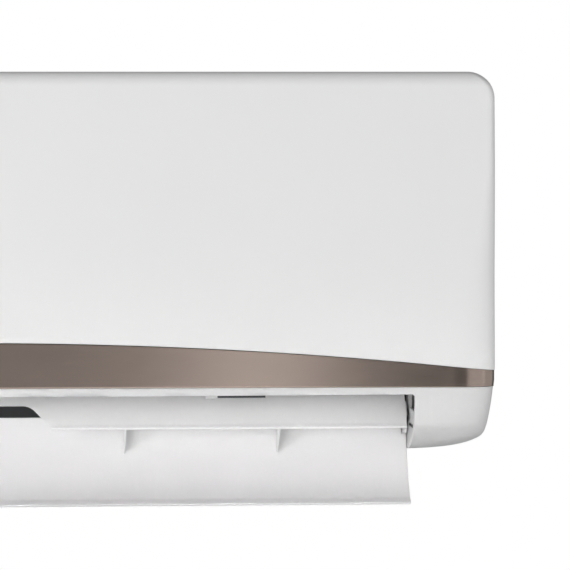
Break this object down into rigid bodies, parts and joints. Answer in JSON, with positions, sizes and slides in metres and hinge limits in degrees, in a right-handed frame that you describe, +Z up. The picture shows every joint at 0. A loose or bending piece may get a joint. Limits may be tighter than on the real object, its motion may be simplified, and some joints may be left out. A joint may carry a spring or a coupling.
{
  "type": "mini split indoor unit",
  "caption": "Wall hung indoor unit of a split air conditioner: bowed front panel over a metallic trim band, open louver with inner blade, cross-flow fan, coil and wall plate.",
  "frame": {"origin": "centre of the wall plate's flat back face, on the wall", "axes": "+X to the right seen from the front, the front faces -Y, +Z up"},
  "size_m": [0.855, 0.2086, 0.3414],
  "materials": {
    "shell": "smooth white moulding, satin gloss",
    "inner_plastic": "light grey moulding",
    "bronze": "satin bronze metallic",
    "dark_plastic": "black glass filled moulding",
    "filter": "grey moulded frame and net",
    "fin": "coated fins",
    "copper": "bare copper",
    "brass": "machined brass",
    "steel": "galvanised sheet",
    "rubber": "matt rubber",
    "board": "circuit board",
    "foam": "foam lined moulding"
  },
  "bodies": {
    "root": {"wall_plate": "steel", "rear_chassis": "inner_plastic", "front_case": "shell", "trim_band": "bronze", "top_grille": "shell", "drain_pan": "foam", "drain_plug": "rubber", "evaporator_front": "fin", "evaporator_top": "fin", "evaporator_rear": "fin", "coil_plate_right": "copper", "coil_plate_left": "copper", "gas_pipe": "copper", "liquid_pipe": "copper", "gas_flare_nut": "brass", "liquid_flare_nut": "brass", "fan_bearing": "rubber", "blower_motor": "steel", "motor_clamp": "inner_plastic", "louver_centre_support": "inner_plastic", "louver_motor": "inner_plastic", "vane_motor_right": "inner_plastic", "vane_motor_left": "inner_plastic", "electric_box": "inner_plastic", "electric_cover": "inner_plastic", "control_board": "board", "terminal_block": "dark_plastic", "display_housing": "inner_plastic", "display_board": "board", "coil_sensor": "copper"},
    "panel": {"front_panel": "shell"},
    "louver": {"louver_flap": "shell", "louver_inner_blade": "shell"},
    "fan": {"cross_flow_fan": "dark_plastic", "fan_shaft": "steel", "fan_stub_shaft": "steel"},
    "filter_right": {"filter_right": "filter"},
    "filter_left": {"filter_left": "filter"},
    "aux_button": {"aux_button": "shell"},
    "vane_right_1": {"vane_right_1": "inner_plastic"},
    "vane_right_2": {"vane_right_2": "inner_plastic"},
    "vane_right_3": {"vane_right_3": "inner_plastic"},
    "vane_right_4": {"vane_right_4": "inner_plastic"},
    "vane_right_5": {"vane_right_5": "inner_plastic"},
    "link_right": {"link_rod_right": "inner_plastic"},
    "vane_left_1": {"vane_left_1": "inner_plastic"},
    "vane_left_2": {"vane_left_2": "inner_plastic"},
    "vane_left_3": {"vane_left_3": "inner_plastic"},
    "vane_left_4": {"vane_left_4": "inner_plastic"},
    "vane_left_5": {"vane_left_5": "inner_plastic"},
    "link_left": {"link_rod_left": "inner_plastic"}
  },
  "joints": [
    {"name": "panel_hinge", "type": "hinge", "parent": "root", "child": "panel", "pos_m": [0, -0.185, 0.114], "axis": [-1, 0, 0], "range_deg": [0, 70]},
    {"name": "louver_hinge", "type": "hinge", "parent": "root", "child": "louver", "pos_m": [0, -0.1439, -0.1629], "axis": [-1, 0, 0], "range_deg": [0, 83]},
    {"name": "fan_spin", "type": "hinge", "parent": "root", "child": "fan", "pos_m": [0, -0.104, -0.057], "axis": [1, 0, 0], "continuous": true},
    {"name": "filter_right_lift", "type": "slide", "parent": "root", "child": "filter_right", "axis": [0, 0, 1], "range_m": [0, 0.06]},
    {"name": "filter_left_lift", "type": "slide", "parent": "root", "child": "filter_left", "axis": [0, 0, 1], "range_m": [0, 0.06]},
    {"name": "aux_button_press", "type": "slide", "parent": "root", "child": "aux_button", "axis": [0, 1, 0], "range_m": [0, 0.0015], "stiffness_N_per_m": 600},
    {"name": "vane_right_1_swing", "type": "hinge", "parent": "root", "child": "vane_right_1", "pos_m": [0.048, -0.1, -0.14296], "axis": [0, -0.6428, 0.766], "range_deg": [-35, 35]},
    {"name": "vane_right_2_swing", "type": "hinge", "parent": "root", "child": "vane_right_2", "pos_m": [0.114, -0.1, -0.14296], "axis": [0, -0.6428, 0.766], "range_deg": [-35, 35]},
    {"name": "vane_right_3_swing", "type": "hinge", "parent": "root", "child": "vane_right_3", "pos_m": [0.18, -0.1, -0.14296], "axis": [0, -0.6428, 0.766], "range_deg": [-35, 35]},
    {"name": "vane_right_4_swing", "type": "hinge", "parent": "root", "child": "vane_right_4", "pos_m": [0.246, -0.1, -0.14296], "axis": [0, -0.6428, 0.766], "range_deg": [-35, 35]},
    {"name": "vane_right_5_swing", "type": "hinge", "parent": "root", "child": "vane_right_5", "pos_m": [0.312, -0.1, -0.14296], "axis": [0, -0.6428, 0.766], "range_deg": [-35, 35]},
    {"name": "link_right_pivot", "type": "hinge", "parent": "vane_right_1", "child": "link_right", "pos_m": [0.048, -0.12039, -0.13266], "axis": [0, -0.6428, 0.766], "range_deg": [-35, 35]},
    {"name": "vane_left_1_swing", "type": "hinge", "parent": "root", "child": "vane_left_1", "pos_m": [-0.048, -0.1, -0.14296], "axis": [0, -0.6428, 0.766], "range_deg": [-35, 35]},
    {"name": "vane_left_2_swing", "type": "hinge", "parent": "root", "child": "vane_left_2", "pos_m": [-0.114, -0.1, -0.14296], "axis": [0, -0.6428, 0.766], "range_deg": [-35, 35]},
    {"name": "vane_left_3_swing", "type": "hinge", "parent": "root", "child": "vane_left_3", "pos_m": [-0.18, -0.1, -0.14296], "axis": [0, -0.6428, 0.766], "range_deg": [-35, 35]},
    {"name": "vane_left_4_swing", "type": "hinge", "parent": "root", "child": "vane_left_4", "pos_m": [-0.246, -0.1, -0.14296], "axis": [0, -0.6428, 0.766], "range_deg": [-35, 35]},
    {"name": "vane_left_5_swing", "type": "hinge", "parent": "root", "child": "vane_left_5", "pos_m": [-0.312, -0.1, -0.14296], "axis": [0, -0.6428, 0.766], "range_deg": [-35, 35]},
    {"name": "link_left_pivot", "type": "hinge", "parent": "vane_left_1", "child": "link_left", "pos_m": [-0.048, -0.12039, -0.13266], "axis": [0, -0.6428, 0.766], "range_deg": [-35, 35]}
  ],
  "couplings": [
    {"joint": "vane_right_2_swing", "follows": "vane_right_1_swing", "ratio": 1},
    {"joint": "vane_right_3_swing", "follows": "vane_right_1_swing", "ratio": 1},
    {"joint": "vane_right_4_swing", "follows": "vane_right_1_swing", "ratio": 1},
    {"joint": "vane_right_5_swing", "follows": "vane_right_1_swing", "ratio": 1},
    {"joint": "link_right_pivot", "follows": "vane_right_1_swing", "ratio": -1},
    {"joint": "vane_left_2_swing", "follows": "vane_left_1_swing", "ratio": 1},
    {"joint": "vane_left_3_swing", "follows": "vane_left_1_swing", "ratio": 1},
    {"joint": "vane_left_4_swing", "follows": "vane_left_1_swing", "ratio": 1},
    {"joint": "vane_left_5_swing", "follows": "vane_left_1_swing", "ratio": 1},
    {"joint": "link_left_pivot", "follows": "vane_left_1_swing", "ratio": -1}
  ]
}
